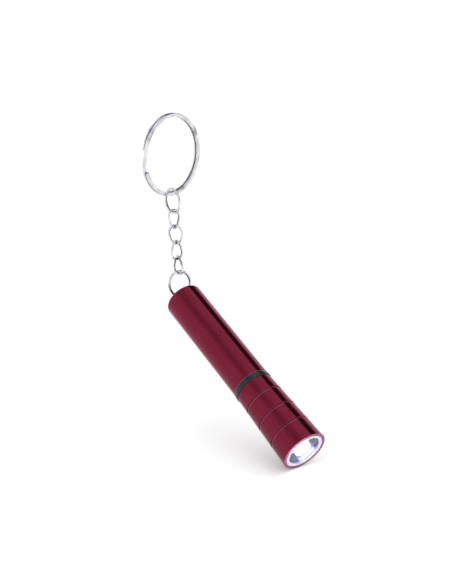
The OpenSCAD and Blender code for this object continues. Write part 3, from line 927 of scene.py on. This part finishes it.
# %% Wind the spring
spring_low, spring_high, _, spring_r = turned_size("tail_spring")
SPRING_WIRE, SPRING_TURNS, SPRING_TOP_R = 0.45, 7, 2.5


def spring_line():
    """Angle and height run together. The first and last turns rise by a wire's width, and the turns
    between share the rest; the radius goes evenly from foot to top."""
    turns = np.linspace(0, SPRING_TURNS, 1600)
    flat_rise = SPRING_WIRE + 0.05
    rise = spring_high - spring_low - SPRING_WIRE
    height = np.interp(turns, [0, 1, SPRING_TURNS - 1, SPRING_TURNS], [0, flat_rise, rise - flat_rise, rise])
    radius = (spring_r - SPRING_WIRE / 2) + (SPRING_TOP_R - spring_r + SPRING_WIRE / 2) * turns / SPRING_TURNS
    a = 2 * math.pi * turns
    return np.stack([radius * np.cos(a), radius * np.sin(a), spring_low + SPRING_WIRE / 2 + height], axis=1)


spring_points = on_torch(spring_line()) / MM
spring = bent_wire("tail_spring_coil", spring_points, torch_z, SPRING_WIRE / 2, SPRING_WIRE / 2,
                   columns=16, steps=900, chamfer=0.08)
hand_over(spring, spring_steel, "tail_spring")

# %% [markdown]
# The small stamped and moulded parts keep their own shapes, which are already right, and get a finish.

# %% Finish the small inner parts
INNER = {"contact_button": brass, "contact_ring": brass, "contact_washer": brass, "anode_leg": steel,
         "cathode_leg": steel, "eyelet_washer": steel, "led_holder": plastic, "battery_sleeve": plastic}
for node, material in INNER.items():
    mesh = frame["nodes"][node].data
    mesh.materials.clear()
    mesh.materials.append(material)
print("finished", len(INNER), "inner parts")

# %% [markdown]
# ## The stage
# The object lies on a white table in an even white surround, as in a light tent. A soft light hangs
# overhead. Polished metal shows only what it mirrors, so the surround needs something dark in it: a long
# strip high behind the torch draws the dark line along its side, and a grey one in front takes the flat
# look off the middle. The strips are seen in reflections only.

# %% Table, surround and strips
floor_z = cad_box[0].z
TABLE_HALF = 6.0
SURROUND_LEVEL = 1.15


def plane(name, centre, half_u, half_v):
    """A flat four-cornered sheet: its corners are the centre plus or minus two half edges."""
    corners = [np.asarray(centre) + i * half_u + j * half_v for i, j in ((-1, -1), (1, -1), (1, 1), (-1, 1))]
    mesh = bpy.data.meshes.new(name)
    mesh.from_pydata([tuple(corner) for corner in corners], [], [(0, 1, 2, 3)])
    mesh.uv_layers.new(name="surface").data.foreach_set("uv", [0, 0, 1, 0, 1, 1, 0, 1])
    sheet = bpy.data.objects.new(name, mesh)
    bpy.context.scene.collection.objects.link(sheet)
    return sheet


table_finish = new_finish("white_table", Base_Color=(0.93, 0.93, 0.93, 1), Roughness=0.9,
                          Specular_IOR_Level=0.0, Emission_Color=(0.9, 1.0, 1.0, 1),
                          Emission_Strength=0.09)[0]
table = plane("table", (0, 0, floor_z), np.array([TABLE_HALF, 0, 0]), np.array([0, TABLE_HALF, 0]))
table.data.materials.append(table_finish)

world = bpy.data.worlds.new("surround")
bpy.context.scene.world = world
world.use_nodes = True
world.node_tree.nodes["Background"].inputs["Color"].default_value = (1, 1, 1, 1)
world.node_tree.nodes["Background"].inputs["Strength"].default_value = SURROUND_LEVEL

target = (np.array(cad_box[0]) + np.array(cad_box[1])) / 2


def strip(name, azimuth, elevation, distance, width, height, level, blur):
    """A strip that only reflections see, in a direction from the object (azimuth from -Y towards +X,
    elevation above the table). Its light level fades out towards its long edges over blur of its height."""
    az, el = math.radians(azimuth), math.radians(elevation)
    out = np.array([math.sin(az) * math.cos(el), -math.cos(az) * math.cos(el), math.sin(el)])
    right = np.array([math.cos(az), math.sin(az), 0.0])
    sheet = plane(name, target + out * distance, right * width / 2, np.cross(out, right) * height / 2)
    material = bpy.data.materials.new(name)
    material.use_nodes = True
    tree = material.node_tree
    tree.nodes.clear()
    lamp_node = add(tree, "Emission", {"Color": (level, level, level, 1)})
    clear = add(tree, "BsdfTransparent")
    place = add(tree, "TexCoord")
    split = add(tree, "SeparateXYZ")
    across = add(tree, "Math", {1: 0.5}, operation="SUBTRACT")
    folded = add(tree, "Math", operation="ABSOLUTE")
    fade = between(tree, folded.outputs[0], 1.0, 0.0, 0.5 - blur, 0.5)
    mixed = add(tree, "MixShader")
    output = add(tree, "OutputMaterial")
    for a, b in ((place.outputs["UV"], split.inputs[0]), (split.outputs["Y"], across.inputs[0]),
                 (across.outputs[0], folded.inputs[0]), (fade, mixed.inputs["Fac"]),
                 (clear.outputs[0], mixed.inputs[1]), (lamp_node.outputs[0], mixed.inputs[2]),
                 (mixed.outputs[0], output.inputs["Surface"])):
        tree.links.new(a, b)
    sheet.data.materials.append(material)
    sheet.visible_camera = sheet.visible_diffuse = sheet.visible_shadow = False
    sheet.visible_transmission = False


strip("dark_strip", -160, 43.5, 1.2, 6.0, 0.64, 0.10, 0.045)
strip("grey_strip", -15, 60, 1.2, 5.0, 1.15, 0.74, 0.45)

# %% [markdown]
# ### Lights
# The overhead light is large and close, so shadows are soft and gather under the torch. The lamp's beam is
# a spot light just before the window, which rides on the torch, so it swings with it.

# %% Overhead light and beam
OVERHEAD_PLACE, OVERHEAD_WATTS = (0.05, 0.1, 0.7), 0.25
BEAM_AHEAD_MM, BEAM_WATTS = 0.6, 0.012


def light(name, kind, place, direction, energy, **settings):
    """A light at a place, looking along a direction."""
    data = bpy.data.lights.new(name, kind)
    data.energy = energy
    for key, value in settings.items():
        setattr(data, key, value)
    made = bpy.data.objects.new(name, data)
    made.matrix_world = aimed(place, direction)
    bpy.context.scene.collection.objects.link(made)
    return made


def aimed(place, direction):
    """The matrix of something at a place that looks along a direction: its own -Z is the direction."""
    turn = Vector(direction).to_track_quat("-Z", "Y").to_matrix().to_4x4()
    return Matrix.Translation(Vector(place)) @ turn


overhead = light("overhead_soft", "AREA", target + np.array(OVERHEAD_PLACE), (0, 0, -1),
                 OVERHEAD_WATTS, shape="DISK", size=0.8)
overhead.visible_glossy = False
beam = light("lamp_beam", "SPOT", on_torch(np.array([0, 0, head_end + BEAM_AHEAD_MM])), torch_z,
             BEAM_WATTS, color=(0.78, 0.85, 1.0), spot_size=math.radians(130), spot_blend=1.0,
             shadow_soft_size=0.003)
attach(beam, "torch")

# %% [markdown]
# ### Camera
# A long lens from slightly above, a third of a metre off, looks along the torch's side so that its mouth
# shows.

# %% Camera
CAMERA_PLACE = (0.28761, -0.19476, 0.06314)
CAMERA_AZIMUTH, CAMERA_ELEVATION = 53.2, 17.0
CAMERA_LENS_MM, CAMERA_NEAREST = 72.19, 0.01
camera_data = bpy.data.cameras.new("camera")
camera_data.lens = CAMERA_LENS_MM
camera_data.clip_start = CAMERA_NEAREST
camera = bpy.data.objects.new("camera", camera_data)
camera.location = CAMERA_PLACE
camera.rotation_euler = (math.radians(90 - CAMERA_ELEVATION), 0, math.radians(CAMERA_AZIMUTH))
bpy.context.scene.collection.objects.link(camera)
bpy.context.scene.camera = camera
bpy.context.scene.view_settings.view_transform = "Standard"

# %% Print the loaded box and finish
print("loaded box", [list(corner) for corner in cad_box])
